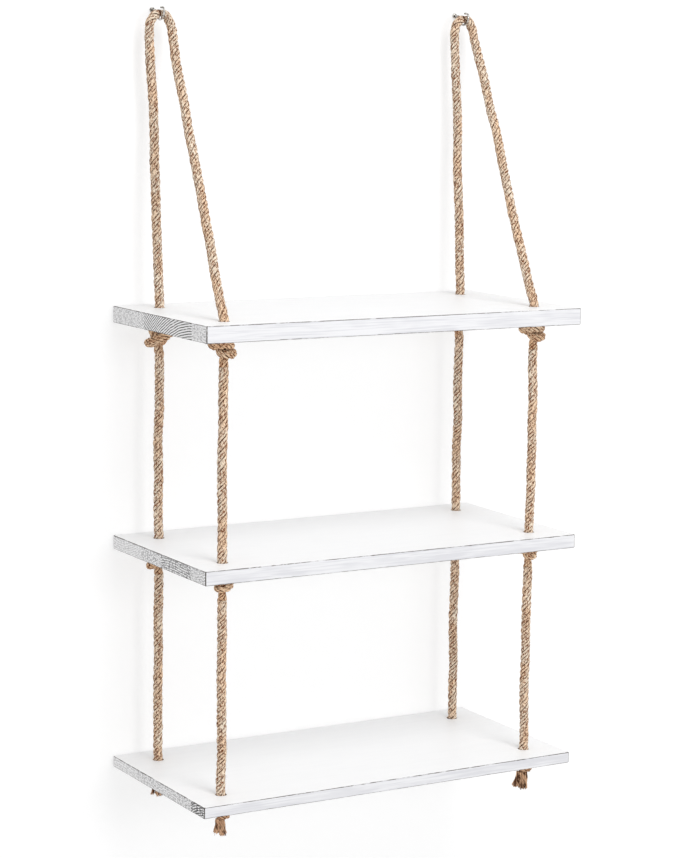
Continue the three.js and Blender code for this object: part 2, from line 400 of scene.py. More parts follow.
def linear(red, green, blue):
    """A colour written as it looks on a screen, from 0 to 255."""
    shares = [v / 255 for v in (red, green, blue)]
    return [v / 12.92 if v <= 0.04045 else ((v + 0.055) / 1.055) ** 2.4 for v in shares] + [1.0]


class Shading:
    """Short calls for a material's nodes."""

    def __init__(self, name, roughness, metallic=0.0, specular=0.5):
        self.material = bpy.data.materials.new(name)
        self.material.use_nodes = True
        self.tree = self.material.node_tree
        self.shader = self.tree.nodes["Principled BSDF"]
        settings = {"Roughness": roughness, "Metallic": metallic, "Specular IOR Level": specular}
        for key, value in settings.items():
            self.shader.inputs[key].default_value = value

    def node(self, kind, settings=None, **inputs):
        made = self.tree.nodes.new(kind)
        for key, value in (settings or {}).items():
            setattr(made, key, value)
        for key, value in inputs.items():
            self.feed(made.inputs[key.replace("_", " ")], value)
        return made

    def feed(self, socket, value):
        if isinstance(value, bpy.types.NodeSocket):
            self.tree.links.new(value, socket)
        else:
            socket.default_value = value

    def math(self, operation, a, b=0.0, clamp=False):
        made = self.node("ShaderNodeMath", {"operation": operation, "use_clamp": clamp})
        self.feed(made.inputs[0], a)
        self.feed(made.inputs[1], b)
        return made.outputs[0]

    def plus(self, a, b):
        return self.math("ADD", a, b)

    def minus(self, a, b):
        return self.math("SUBTRACT", a, b)

    def times(self, a, b):
        return self.math("MULTIPLY", a, b)

    def smooth(self, value, low, high, to_low=0.0, to_high=1.0):
        made = self.node("ShaderNodeMapRange", {"interpolation_type": "SMOOTHSTEP"}, Value=value,
                         From_Min=low, From_Max=high, To_Min=to_low, To_Max=to_high)
        return made.outputs["Result"]

    def noise(self, place, stretch, shift=(0, 0, 0), detail=2.0, roughness=0.5, distortion=0.0):
        moved = self.node("ShaderNodeMapping", Vector=place, Scale=stretch, Location=shift)
        made = self.node("ShaderNodeTexNoise", Vector=moved.outputs["Vector"], Scale=1.0,
                         Detail=detail, Roughness=roughness, Distortion=distortion)
        return made.outputs["Fac"]

    def mix(self, share, a, b, blend="MIX"):
        made = self.node("ShaderNodeMix", {"data_type": "RGBA", "blend_type": blend}, Factor=share)
        self.feed(made.inputs[6], a)
        self.feed(made.inputs[7], b)
        return made.outputs[2]

    def attribute(self, name, kind="Fac"):
        return self.node("ShaderNodeAttribute", {"attribute_name": name}).outputs[kind]

    def bump(self, height, distance, strength=1.0):
        made = self.node("ShaderNodeBump", Height=height, Distance=distance, Strength=strength)
        return made.outputs["Normal"]

    def finish(self, colour, normal=None, roughness=None):
        for key, value in (("Base Color", colour), ("Normal", normal), ("Roughness", roughness)):
            if value is not None:
                self.feed(self.shader.inputs[key], value)
        return self.material


def jute_material(name, tint):
    """Laid jute: pale and brown yarns, lines between the yarns of a strand, and painted shade down in the
    grooves.
    """
    s = Shading(name, 0.9, specular=0.12)
    along = s.attribute("straight", "Vector")
    groove = s.attribute("groove")
    yarns = s.noise(along, (0.72, 0.72, 0.3), detail=1.0)
    fibres = s.noise(along, (1.3, 1.3, 0.45), (7, 3, 5), roughness=0.65)
    tone = s.noise(along, (0.12, 0.12, 0.045), (2, 9, 4))
    broken = s.noise(along, (0.35, 0.35, 0.22), (1, 6, 2), detail=1.0)
    light = s.mix(s.smooth(tone, 0.3, 0.7), linear(255, 222, 188), linear(255, 240, 218))
    dark = s.mix(s.smooth(tone, 0.3, 0.7), linear(116, 56, 20), linear(144, 84, 42))
    amount = s.plus(s.smooth(yarns, 0.42, 0.5, 0.0, 0.8), s.smooth(fibres, 0.445, 0.525, 0.0, 0.6))
    whole = s.smooth(broken, 0.38, 0.55, 0.1, 1.0)
    middle_line = s.times(s.smooth(groove, 0.07, 0.24, 0.92, 0.0), whole)
    beside = s.math("ABSOLUTE", s.minus(groove, 0.5))
    side_line = s.times(s.smooth(beside, 0.03, 0.14, 0.4, 0.0), whole)
    amount = s.minus(amount, s.plus(middle_line, side_line))
    fibre_colour = s.mix(s.math("MAXIMUM", s.math("MINIMUM", amount, 1.0), 0.0), dark, light)
    # Painted shade: deep brown down in the grooves between the strands. Where the groove value goes above 1,
    # it is a painted contact shadow beside a hook's wire and between a knot's wraps.
    shade = s.times(s.smooth(groove, 0.7, 0.94), s.smooth(broken, 0.38, 0.58, 1.0, 0.45))
    shade = s.math("MAXIMUM", shade, s.smooth(groove, 1.0, 1.25))
    colour = s.mix(shade, fibre_colour, linear(82, 42, 12))
    colour = s.mix(1.0, colour, tint, "MULTIPLY")
    height = s.plus(yarns, s.times(fibres, 0.45))
    height = s.minus(height, s.times(middle_line, 0.6))
    return s.finish(colour, s.bump(height, 1.8 * mm))


def fibre_material(name, low, high, change):
    """Loose jute fibres, some darker than others: the smaller the change, the fewer lie in between."""
    s = Shading(name, 0.8, specular=0.25)
    tone = s.noise(s.attribute("straight", "Vector"), (0.35, 0.35, 0.35))
    return s.finish(s.mix(s.smooth(tone, 0.5 - change, 0.5 + change), low, high))


def nickel_material():
    """Bright nickel plate with very fine drawing lines and a few duller spots, and darker patches that are
    painted reflections.
    """
    s = Shading("nickel_plate", 0.2, metallic=1.0)
    place = s.node("ShaderNodeTexCoord").outputs["Object"]
    fine = s.noise(place, (900, 900, 900), detail=3.0)
    spots = s.noise(place, (380, 380, 380))
    # Painted reflection: darker patches in the metal's colour stand for dark things mirrored in it
    colour = s.mix(s.smooth(spots, 0.36, 0.62), linear(124, 119, 114), linear(216, 213, 208))
    return s.finish(colour, s.bump(fine, 0.03 * mm, 0.5), s.smooth(spots, 0.3, 0.75, 0.1, 0.24))


def stave_patterns(s, ahead, height, depth, staves):
    """How strongly rings and pores show, the place from the rings' middle, and the seams."""
    patterns, seam, start = [0.0] * 4, 0.0, 0.0
    for stop, showing, spotted, middle_ahead, middle_up in staves:
        inside = s.times(s.math("GREATER_THAN", ahead, start * depth),
                         s.math("LESS_THAN", ahead, stop * depth))
        values = (showing, spotted, s.minus(ahead, start * depth + middle_ahead), s.minus(height, middle_up))
        patterns = [s.plus(total, s.times(inside, value)) for total, value in zip(patterns, values)]
        if stop < 1:
            near = s.math("ABSOLUTE", s.minus(ahead, stop * depth))
            seam = s.math("MAXIMUM", seam, s.smooth(near, 0.1, 0.8, 1.0, 0.0))
        start = stop
    return patterns, seam


def end_grain(s, place, patterns, seam):
    """Growth rings and pores on the bare ends. Gives the colour and the rings' dark lines."""
    strength, speckle, ahead_of_middle, over_middle = patterns
    wobble = s.noise(place, (0.05, 0.07, 0.07), detail=1.0)
    squares = s.plus(s.times(ahead_of_middle, ahead_of_middle), s.times(over_middle, over_middle))
    far = s.plus(s.math("SQRT", squares), s.times(wobble, ring_wobble))
    ring = s.math("SINE", s.times(far, full_turn / ring_spacing))
    pores = s.noise(place, (0.5, 0.27, 0.58), detail=1.0, roughness=0.6)
    flecks = s.noise(place, (0.5, 0.14, 0.4), (5, 2, 8), roughness=0.7)
    line = s.times(s.smooth(ring, 0.1, 0.7), strength)
    line = s.times(line, s.smooth(flecks, 0.3, 0.5, 0.45, 1.0))
    dotted = s.times(s.smooth(pores, 0.45, 0.54, 1.0, 0.0), speckle)
    dotted = s.times(dotted, s.smooth(flecks, 0.38, 0.6, 0.55, 1.0))
    bare = s.mix(dotted, linear(253, 252, 252), linear(104, 102, 104))
    bare = s.mix(line, bare, linear(44, 40, 42))
    return s.mix(s.times(seam, 0.75), bare, linear(250, 250, 250)), line


def board_material(name, seed):
    """White paint over a panel glued from staves: a grey wash and grain in front, partly painted shade, and
    bare rings on the ends.
    """
    low, high = box_of(f"{name}_board")
    s = Shading(name, 0.5, specular=0.35)
    coordinates = s.node("ShaderNodeTexCoord").outputs
    place = s.node("ShaderNodeVectorMath", {"operation": "SCALE"}, Scale=1 / mm)
    s.feed(place.inputs[0], coordinates["Object"])
    place = place.outputs["Vector"]
    split = s.node("ShaderNodeSeparateXYZ", Vector=place).outputs
    facing = s.node("ShaderNodeSeparateXYZ", Vector=coordinates["Normal"]).outputs
    ahead = s.minus(high[1] / mm, split["Y"])
    height = s.minus(split["Z"], low[2] / mm)
    patterns, seam = stave_patterns(s, ahead, height, (high[1] - low[1]) / mm, board_staves[name])
    bare, line = end_grain(s, place, patterns, seam)

    # Paint: nearly plain on top, and a thin grey wash with the grain on the upright faces. That the upright
    # faces are always greyer than the flat ones is painted shade; the wash's patches and the grain streaks
    # are the paint's own
    upright = s.smooth(s.math("ABSOLUTE", facing["Z"]), 0.5, 0.9, 1.0, 0.12)
    grain = s.noise(place, (0.012, 0.5, 0.5), (seed, 0, 0), 3.0, 0.6, 0.3)
    wash = s.noise(place, (0.02, 0.11, 0.11), (0, 0, seed))
    brush = s.noise(place, (0.05, 2.2, 2.2), (0, seed, 0))
    thin = s.plus(s.smooth(grain, 0.45, 0.68, 0.0, 0.4), s.smooth(wash, 0.4, 0.66, 0.6, 0.88))
    paint = s.mix(s.times(thin, upright), linear(253, 253, 253), linear(216, 216, 220))
    end = s.smooth(s.math("ABSOLUTE", facing["X"]), 0.6, 0.8)
    colour = s.mix(end, paint, bare)

    # Paint rubbed off along the edges, in a fine broken line
    worn = s.attribute("worn")
    patches = s.noise(place, (0.06, 0.06, 0.2), (seed, seed, 0), 5.0, 0.75)
    share = s.math("MAXIMUM", s.smooth(patches, 0.38, 0.52, 0.25, 0.95), s.smooth(worn, 1.05, 1.25))
    colour = s.mix(s.times(s.smooth(worn, 0.4, 0.8), share), colour, linear(84, 78, 74))
    colour = s.mix(s.attribute("inside"), colour, linear(150, 126, 100))

    relief = s.plus(s.times(grain, 0.5), s.times(brush, 0.2))
    relief = s.minus(relief, s.times(line, s.times(end, 0.5)))
    relief = s.minus(relief, s.times(seam, 0.3))
    roughness = s.plus(0.46, s.times(end, 0.25))
    return s.finish(colour, s.bump(relief, 0.2 * mm, 0.5), roughness)


jute = jute_material("jute_laid", linear(255, 255, 255))
# Painted shade: the knots sit in shade under the boards, so the knotted jute is a slightly darker, redder
# tinted copy of the rope
knot_shaded_jute = jute_material("jute_knotted_shaded", linear(255, 243, 230))
# Painted shade: the knots under the bottom board get a still darker tinted copy, for the deeper shade there
bottom_knot_deeper_shade_jute = jute_material("jute_knotted_deeper_shade", linear(222, 200, 184))
loose_fibre = fibre_material("jute_fibre", linear(176, 136, 98), linear(232, 204, 172), 0.14)
# Painted shade: the frayed ends' fibres are dark and pale at random, and as a whole darker than the rope,
# for the shade under the bottom board
tail_fibre = fibre_material("jute_unlaid", linear(84, 50, 28), linear(226, 184, 148), 0.1)
nickel = nickel_material()


# Ropes

def lobes():
    """One ring of the strands laid together, at radius 1: angles, radii and depth in the groove."""
    share = np.tile(np.linspace(-1, 1, lobe_points, endpoint=False), strands)
    first = np.repeat(np.arange(strands) * full_turn / strands, lobe_points)
    angles = first + share * math.pi / strands
    radii = 1 - (1 - crease_share) * np.abs(share) ** lobe_power
    return angles, radii, np.abs(share)


lobe_angles, lobe_radii, lobe_groove = lobes()


def blurred(values, width):
    """Random values blurred over a number of places. The blur's own reach is left off at both ends."""
    reach = np.arange(-blur_spans * width, blur_spans * width + 1)
    kernel = np.exp(-(reach / width) ** 2)
    return np.convolve(values, kernel, "valid") / math.sqrt((kernel ** 2).sum())


def slow_noise(draw, count, width):
    """Blurred random values along a line, mostly from -1 to 1."""
    values = draw.normal(0, 1, count + 2 * blur_spans * width)
    return np.clip(blurred(values, width), -noise_limit, noise_limit)


def round_noise(draw, count, width):
    """Blurred random values round a closed line, mostly from -1 to 1."""
    values = draw.normal(0, 1, count)
    reach = blur_spans * width
    return blurred(np.concatenate([values[-reach:], values, values[:reach]]), width)


def unstraighten(line, seed):
    """Natural rope is never quite straight: the line wanders a little between its two ends."""
    draw = np.random.default_rng(seed)
    count = len(line)
    ends = np.sin(np.linspace(0, math.pi, count)) ** line_wander_power
    offset = [slow_noise(draw, count, line_wander_rings) for _ in range(2)] + [np.zeros(count)]
    return line + np.stack(offset, axis=1) * line_wander * ends[:, None]


def pinched(line, into):
    """How much a rope's radius shrinks towards a cut end, where it is drawn into a hole."""
    left = np.linalg.norm(line - into, axis=1)
    return 1 - hole_pinch * np.clip(1 - left / rope_into_hole, 0, 1)


def laid_rope(name, line, radii, first_turn, pattern_start, material, wire_shadows=()):
    """A right-laid rope along a line. Gives the piece and the turn of its last ring from the X axis."""
    rings = len(line)
    draw = np.random.default_rng(int(pattern_start / mm) + pattern_seed)
    _, across, aside = frames_along(line)
    steps = np.concatenate([[0], np.linalg.norm(np.diff(line, axis=0), axis=1)])
    run = np.cumsum(steps)
    rate = 1 + lay_wander * slow_noise(draw, rings, lay_wander_rings)
    turns = first_turn + full_turn * np.cumsum(steps * rate * rope_radius / radii) / lay_length
    angles = turns[:, None] + lobe_angles[None]
    ends = np.clip(np.minimum(run, run[-1] - run) / even_end, 0, 1)
    fat = np.stack([slow_noise(draw, rings, thickness_wander_rings) for _ in range(strands)], axis=1)
    fat = np.repeat(fat * ends[:, None], lobe_points, axis=1)
    fat = 1 + thickness_wander * fat * (1 - lobe_groove[None] ** 3)
    spread = radii[:, None] * lobe_radii[None] * fat
    ring = np.cos(angles)[..., None] * across[:, None] + np.sin(angles)[..., None] * aside[:, None]
    points = (line[:, None] + spread[..., None] * ring).reshape(-1, 3)
    straight = np.stack([spread * np.cos(angles), spread * np.sin(angles),
                         np.broadcast_to((run + pattern_start)[:, None], angles.shape)], axis=-1) / mm
    groove = np.array(np.broadcast_to(lobe_groove, angles.shape))
    # Painted contact shadow: the groove value is raised on each side of a hook's wire
    for crease in wire_shadows:
        dark = wire_shadow_depth * np.exp(-((run - crease) / wire_shadow_reach) ** 2)
        groove = np.maximum(groove, dark[:, None])
    piece = new_piece(name, points, rings_to_faces(rings, len(lobe_angles)), material,
                      groove=groove, straight=straight)
    last = across[-1] * math.cos(turns[-1]) + aside[-1] * math.sin(turns[-1])
    return piece, math.atan2(-last[1], last[0])


def add_fuzz(name, lines, body, per_metre, seed):
    """Short loose fibres that stand off the ropes of one body."""
    draw = np.random.default_rng(seed)
    rings = len(fuzz_shrink)
    shares = np.linspace(0, 1, rings)[:, None]
    points, faces, straight = [], [], []
    for line, radius in lines:
        ahead, across, aside = frames_along(line)
        for _ in range(int(per_metre * length_of(line))):
            i = draw.integers(fuzz_off_end, len(line) - fuzz_off_end)
            angle = draw.uniform(0, full_turn)
            out = math.cos(angle) * across[i] + math.sin(angle) * aside[i]
            round_way = np.cross(ahead[i], out)
            rise = draw.uniform(*fuzz_rise) * fuzz_reach
            run = draw.normal(0, fuzz_run)
            turn = draw.normal(0, fuzz_turn)
            start = line[i] + out * radius * fuzz_root_share
            end = start + out * rise + ahead[i] * run + round_way * turn
            bend = start + out * rise * draw.uniform(*fuzz_bend) + ahead[i] * run * fuzz_bend_share
            hair = (1 - shares) ** 2 * start + 2 * shares * (1 - shares) * bend + shares ** 2 * end
            thick = draw.uniform(*fuzz_radii) * mm * fuzz_shrink
            faces += rings_to_faces(rings, fuzz_sides, len(points) * rings * fuzz_sides)
            points.append(tube_points(hair, thick, fuzz_sides, out + fuzz_lean * ahead[i]))
            straight.append(np.full((rings * fuzz_sides, 3), draw.uniform(0, tone_span)))
    piece = new_piece(name, np.concatenate(points), faces, loose_fibre,
                      straight=np.concatenate(straight))
    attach(piece, body)


def bezier(points, count):
    t = np.linspace(0, 1, count)[:, None]
    a, b, c, d = points
    return (1 - t) ** 3 * a + 3 * t * (1 - t) ** 2 * b + 3 * t * t * (1 - t) * c + t ** 3 * d


def upper_leg(saddle, hole, way):
    """From the saddle over the hook's wire, and straight down to a hole in the top board."""
    across = np.array([way, 0.0, 0.0])
    shoulder = saddle + bight_radius * (across + down)
    along = (hole - shoulder) / np.linalg.norm(hole - shoulder)
    handle = bight_radius * 4 / 3 * math.tan(math.pi / 8)
    shoulder = shoulder + along * handle
    bend = bezier((saddle, saddle + across * handle, shoulder - 2 * handle * along, shoulder), bend_points)
    turn_in = hole - along * entry_bend
    entry = bezier((turn_in, turn_in + along * entry_bend / 2, hole - down * entry_bend / 3, hole),
                   entry_points)
    return np.vstack([bend, entry, hole + down * rope_into_hole])


def add_upper_rope(side, seed):
    """One rope from its rear hole in the top board, over the hook, to its front hole."""
    saddle = middle_of(f"rope_crown_{side}")
    rear, front = (upper_leg(saddle, hole_place(f"{row}_{side}", "top_board"), way)
                   for row, way in zip(rows, (-1, 1)))
    line = unstraighten(resample(np.vstack([rear[::-1], front[1:]]), ring_step), upper_wander_seed + seed)
    run = run_along(line)
    over_wire = run - run[np.argmin(np.linalg.norm(line - saddle, axis=1))]
    radii = rope_radius * (1 - wire_dent * np.exp(-(over_wire / wire_dent_reach) ** 2))
    radii *= pinched(line, line[0]) * pinched(line, line[-1])
    # Where the painted contact shadows lie, one on each side of the wire
    wire_shadows = [run[0] - over_wire[0] + way * (wire_radius + wire_shadow_gap) for way in (-1, 1)]
    piece, _ = laid_rope(f"laid_upper_{side}", line, radii, seed, upper_shift * seed * mm, jute, wire_shadows)
    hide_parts(f"rope_crown_{side}", f"upper_rope_rear_{side}", f"upper_rope_front_{side}")
    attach(piece, f"{side}_upper_ropes")
    crown = int(np.argmin(np.abs(over_wire)))
    hairy = [(line[fuzz_off_hole:crown - fuzz_off_wire], rope_radius),
             (line[crown + fuzz_off_wire:-fuzz_off_hole], rope_radius)]
    add_fuzz(f"fuzz_upper_{side}", hairy, f"{side}_upper_ropes", fuzz_per_metre, upper_fuzz_seed + seed)


def knot_point(t, strand, form):
    """The tightened overhand knot's centreline, from t = -knot_end at its neck to knot_end below."""
    _, wrap_radius, half_height, taper = form
    turn = math.pi * wrap_turns * np.tanh(turn_rate * t * (1 + turn_ease * t * t))
    wrap = np.exp(-(np.abs(t) / wrap_width) ** wrap_power)
    waist = np.exp(-(np.abs(t) / waist_width) ** waist_power)
    radius = (waist_radius * waist + (wrap_radius - waist_radius) * wrap) * (1 + taper * wrap * np.tanh(t))
    rise = half_height * (3 * t - dip * t ** 3) / 2
    return strand * np.stack([radius * np.cos(turn) * flatten, radius * np.sin(turn), rise], axis=-1)


def knot_middle_drop(strand, form):
    """How far the knot's middle lies under its board: its wraps reach up to the wood."""
    t = np.linspace(-wrap_width, wrap_width, wrap_samples)
    return knot_point(t, strand, form)[:, 2].max() + strand * pressed_share + under_board_gap


def paint_tuck_shade(piece, line, radius):
    """Painted shade: the crease is darkened where one wrap of a knot presses on another."""
    points = np.array([vertex.co for vertex in piece.data.vertices])
    stations = np.arange(len(line))
    own = np.repeat(stations, len(lobe_angles))
    away = np.linalg.norm(points[:, None] - line[None], axis=2)
    away[np.abs(own[:, None] - stations[None]) * knot_step < tuck_own_reach * radius] = 1.0
    gap = np.maximum(away.min(axis=1) - radius, 0)
    groove = np.repeat(np.float32(0), len(points))
    data = piece.data.attributes["groove"].data
    data.foreach_get("value", groove)
    dark = np.float32(tuck_shade_depth * np.exp(-(gap / tuck_shade_reach) ** 2))
    data.foreach_set("value", np.maximum(groove, dark))


def add_knot(board, corner, seed):
    """A stopper knot under a board. Gives its line for the fibres, and the next rope's start and turn."""
    low, high = box_of(f"{board}_board")
    hole = hole_place(corner, f"{board}_board")
    node_low, _ = box_of(f"{board}_knot_{corner}")
    form = knot_forms[board][corner.split("_")[0]]
    strand = knot_strand * form[0]
    pressed = strand * pressed_share
    turn = full_turn * odd_knot_turns.get((board, corner), knot_turns[corner])
    local = knot_point(np.linspace(-knot_end, knot_end, knot_points), strand, form)
    cos, sin = math.cos(turn), math.sin(turn)
    spun = np.stack([local[:, 0] * cos - local[:, 1] * sin, local[:, 0] * sin + local[:, 1] * cos,
                     local[:, 2]], axis=1)
    neck_top, middle, seam = (np.array([hole[0], hole[1], z]) for z in (
        high[2] - rope_into_hole - neck_gap, low[2] - knot_middle_drop(strand, form),
        node_low[2] - seam_below_pivot))
    line = resample(np.vstack([neck_top, middle + spun, seam]), knot_step)
    left = np.linalg.norm(line - seam, axis=1)
    radii = pressed + (rope_radius - pressed) * np.clip(1 - left / exit_growth, 0, 1)
    # The knots' jute carries painted shade, deeper under the bottom board
    piece, end_turn = laid_rope(f"laid_knot_{board}_{corner}", line, radii, seed, knot_shift * seed * mm,
                                bottom_knot_deeper_shade_jute if board == "bottom" else knot_shaded_jute)
    paint_tuck_shade(piece, line, pressed)
    for vertex in piece.data.vertices:
        off_axis = math.hypot(vertex.co.x - hole[0], vertex.co.y - hole[1])
        if off_axis > hole_radius - hole_wall_room and vertex.co.z < high[2]:
            vertex.co.z = min(vertex.co.z, low[2] - under_board_gap)
    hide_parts(f"{board}_knot_{corner}")
    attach(piece, f"{board}_shelf")
    return (line[fuzz_off_neck:-fuzz_off_exit], pressed), seam, end_turn


def add_stretch(tier, below, corner, seam, first_turn, seed):
    """The straight rope from a knot's end down into the next board. Gives its line for the fibres."""
    hole = hole_place(corner, f"{below}_board")
    end = hole + down * rope_into_hole
    line = unstraighten(resample(np.vstack([seam, end]), ring_step), stretch_wander_seed + seed)
    radii = rope_radius * pinched(line, end)
    piece, _ = laid_rope(f"laid_{tier}_{corner}", line, radii, first_turn, stretch_shift * seed * mm, jute)
    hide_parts(f"{tier}_rope_{corner}")
    pivot = box_of(f"{tier}_rope_{corner}")[1] - np.array([0, 0, core_radius])
    pivot[:2] = hole[:2]
    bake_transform(piece)
    return line[fuzz_off_knot:-fuzz_off_hole], rope_radius


def add_tail(corner, seam, seed):
    """The rope's end under the bottom board: yarns that part into three blunt tufts, and loose fibres."""
    draw = np.random.default_rng(seed)
    low, _ = box_of(f"tail_{corner}")
    top = seam - down * tail_over_rope
    to_right, length_share, bulk = tail_forms[corner]
    drop = tail_over_rope + (seam[2] - low[2]) * length_share
    lean = np.array([to_right * tail_lean_reach, 0, 0])
    shares = np.linspace(0, 1, tail_rings)[:, None]
    points, faces, straight = [], [], []
    for k in range(strands):
        angle = full_turn * (k + tuft_turn) / strands
        out = np.array([math.cos(angle), math.sin(angle), 0])
        reach = drop * (tail_short_share if k == 1 else 1.0)
        spread = out * bulk * (tail_core + (tail_spread - tail_core) * shares ** tail_spread_power)
        middle_line = top + down * reach * shares + spread + lean * shares ** tail_lean_power
        for n in range(tail_yarns + tail_fibres):
            fibre = n >= tail_yarns
            outward = (n - tail_yarns) / tail_fibres if fibre else (n + 0.5) / tail_yarns
            turn = full_turn * n * golden + tail_twist * shares[:, 0]
            flare = bulk * tuft_radius * math.sqrt(outward) * (1 + tail_flare * shares[:, 0] ** 2)
            hair = middle_line + np.stack([np.cos(turn) * flare, np.sin(turn) * flare, 0 * turn], axis=1)
            trim = draw.uniform(*(fibre_lengths if fibre else yarn_lengths))
            hair[:, 2] = top[2] - (top[2] - hair[:, 2]) * trim
            wander = fibre_wander if fibre else yarn_wander
            hair[1:] += np.cumsum(draw.normal(0, wander, (tail_rings - 1, 3)), axis=0)
            if fibre:
                thick = draw.uniform(*fibre_radii) * mm * np.linspace(1.0, fibre_tip, tail_rings)
            else:
                swell = 1 + yarn_swell * np.sin(shares[:, 0] * yarn_swells + draw.uniform(0, 6))
                thick = bulk * draw.uniform(*yarn_radii) * mm * swell
                thick[-1] *= yarn_tip
            faces += rings_to_faces(tail_rings, tail_sides, len(points) * tail_sides * tail_rings)
            points.append(tube_points(hair, thick, tail_sides))
            tone = np.full((tail_rings, tail_sides, 3), draw.uniform(0, tone_span))
            tone[:, :, 2] += shares * drop / mm * tail_mottle
            straight.append(tone.reshape(-1, 3))
    piece = new_piece(f"frayed_{corner}", np.concatenate(points), faces, tail_fibre,
                      straight=np.concatenate(straight))
    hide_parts(f"tail_{corner}")
    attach(piece, "bottom_shelf")


def add_ropes():
    """Both ropes, from the hooks down to the frayed ends."""
    for side in sides:
        add_upper_rope(side, upper_seeds[side])
    for board, tier, below in (("top", "middle", "middle"), ("middle", "lower", "bottom"),
                               ("bottom", None, None)):
        knots = []
        stretches = {side: [] for side in sides}
        for number, corner in enumerate(corner_names):
            seed = knot_seeds[board] + number
            knot, seam, turn = add_knot(board, corner, seed)
            knots.append(knot)
            if tier:
                stretch = add_stretch(tier, below, corner, seam, turn, seed)
                stretches[corner.split("_")[1]].append(stretch)
            else:
                add_tail(corner, seam, tail_seed + number)
        add_fuzz(f"fuzz_{board}_knots", knots, f"{board}_shelf", knot_fuzz_per_metre, knot_fuzz_seeds[board])
        for number, side in enumerate(sides if tier else ()):
            add_fuzz(f"fuzz_{tier}_{side}", stretches[side], f"{side}_{tier}_ropes", fuzz_per_metre,
                     stretch_fuzz_seeds[tier] + number)


add_ropes()


# Hooks

def hook_line():
    """The hook's wire from the wall out, down into the bowl, up and back over it, at x = 0."""
    bowl_radius = core_radius + hook_room + wire_radius
    bend_drop = shank_bend_radius * (1 - math.cos(shank_bend_turn))
    bowl_y = -(shank_reach + (shank_bend_radius + bowl_radius) * math.sin(shank_bend_turn))
    bowl_z = bowl_radius * math.cos(shank_bend_turn) - bend_drop

    def arc(y, z, radius, start, end, count):
        a = np.linspace(start, end, count)[:, None]
        return np.hstack([0 * a, y - radius * np.sin(a), z - radius * np.cos(a)])

    curl_y = bowl_y - bowl_radius + curl_radius
    return np.vstack([
        [0, 0, 0],
        arc(-shank_reach, -shank_bend_radius, shank_bend_radius, math.pi, math.pi - shank_bend_turn,
            shank_bend_points),
        arc(bowl_y, bowl_z, bowl_radius, -shank_bend_turn, math.pi / 2, bowl_points),
        arc(curl_y, bowl_z, curl_radius, math.pi / 2, math.pi, curl_points),
        [0, curl_y + tip_length, bowl_z + curl_radius],
    ])


def wire_mesh():
    """Screw, shank, bowl and tip are one wire. The thread is cut in the part behind the wall."""
    wire = resample(hook_line(), wire_step)
    ahead = (wire[-1] - wire[-2]) / np.linalg.norm(wire[-1] - wire[-2])
    caps = np.sin(np.linspace(tip_flat, 1.0, tip_rings) * math.pi / 2)
    tip = wire[-1] + np.outer(caps, ahead) * wire_radius
    tip_radii = wire_radius * np.sqrt(np.maximum(1 - caps ** 2, tip_end_share))
    line = np.vstack([wire, tip])
    points = tube_points(line, np.concatenate([np.full(len(wire), wire_radius), tip_radii]), wire_sides)
    faces = rings_to_faces(len(line), wire_sides)

    depth = np.linspace(0, screw_length, screw_rings)[:, None]
    angles = np.linspace(0, full_turn, screw_sides, endpoint=False)[None]
    taper = np.clip((screw_length - depth) / screw_point, screw_point_share, 1)
    threaded = depth > thread_start
    phase = (depth / thread_pitch - angles / full_turn) % 1
    ridge = np.clip(1 - np.abs(phase - 0.5) / thread_width, 0, 1) * threaded
    radius = taper * (screw_radius - thread_depth * (1 - ridge) * threaded)
    screw = np.stack([radius * np.cos(angles), np.broadcast_to(depth, radius.shape),
                      radius * np.sin(angles)], axis=-1).reshape(-1, 3)
    faces += [face[::-1] for face in rings_to_faces(screw_rings, screw_sides, len(points))]
    return np.vstack([points, screw]), faces


def collar_mesh():
    """The cupped collar round the hook's shank, against the wall."""
    bore = wire_radius + collar_gap
    profile = [(bore, 0.0), (collar_radius - collar_ease, 0.0), (collar_radius, collar_ease)]
    for a in np.linspace(0, math.pi / 2, dome_points):
        profile.append((collar_radius - collar_dome * (1 - math.cos(a)),
                        collar_rim + (collar_height - collar_rim) * math.sin(a)))
    profile.append((bore, collar_height))
    around = np.linspace(0, full_turn, collar_sides, endpoint=False)
    points = np.array([(r * math.cos(a), -d, r * math.sin(a)) for r, d in profile for a in around])
    faces = []
    for i in range(len(profile)):
        faces += band(i * collar_sides, (i + 1) % len(profile) * collar_sides, collar_sides)
    return points, faces


for side in sides:
    x = middle_of(f"hook_{side}")[0]
    for name, node, (points, faces) in ((f"wire_hook_{side}", f"hook_{side}", wire_mesh()),
                                        (f"cup_collar_{side}", f"hook_collar_{side}", collar_mesh())):
        piece = new_piece(name, points + np.array([x, 0, 0]), faces, nickel)
        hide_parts(node)
        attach(piece, "hooks")


# Boards

def outline_stations(low, high):
    """Places round a board's outline with the way out at each, and how near a corner it is."""
    near, far = low + corner_radius, high - corner_radius
    centres = np.array([(far[0], near[1]), (far[0], far[1]), (near[0], far[1]), (near[0], near[1])])
    places, outs, corners = [], [], []
    for n, centre in enumerate(centres):
        first = 90 * n - 90
        turns = np.radians(np.linspace(first, first + 90, len(corner_wear_shares)))
        for a, share in zip(turns, corner_wear_shares):
            outs.append(np.array([math.cos(a), math.sin(a)]))
            places.append(centre + corner_radius * outs[-1])
            corners.append(share)
        start = places[-1]
        after = centres[(n + 1) % len(centres)] + corner_radius * outs[-1]
        count = int(np.linalg.norm(after - start) / edge_step)
        for share in np.linspace(0, 1, count + 1)[1:-1]:
            places.append(start + (after - start) * share)
            outs.append(outs[-1])
            corners.append(0.0)
    return np.array(places), np.array(outs), np.array(corners)


quarter = np.linspace(0, math.pi / 2, quarter_rings)


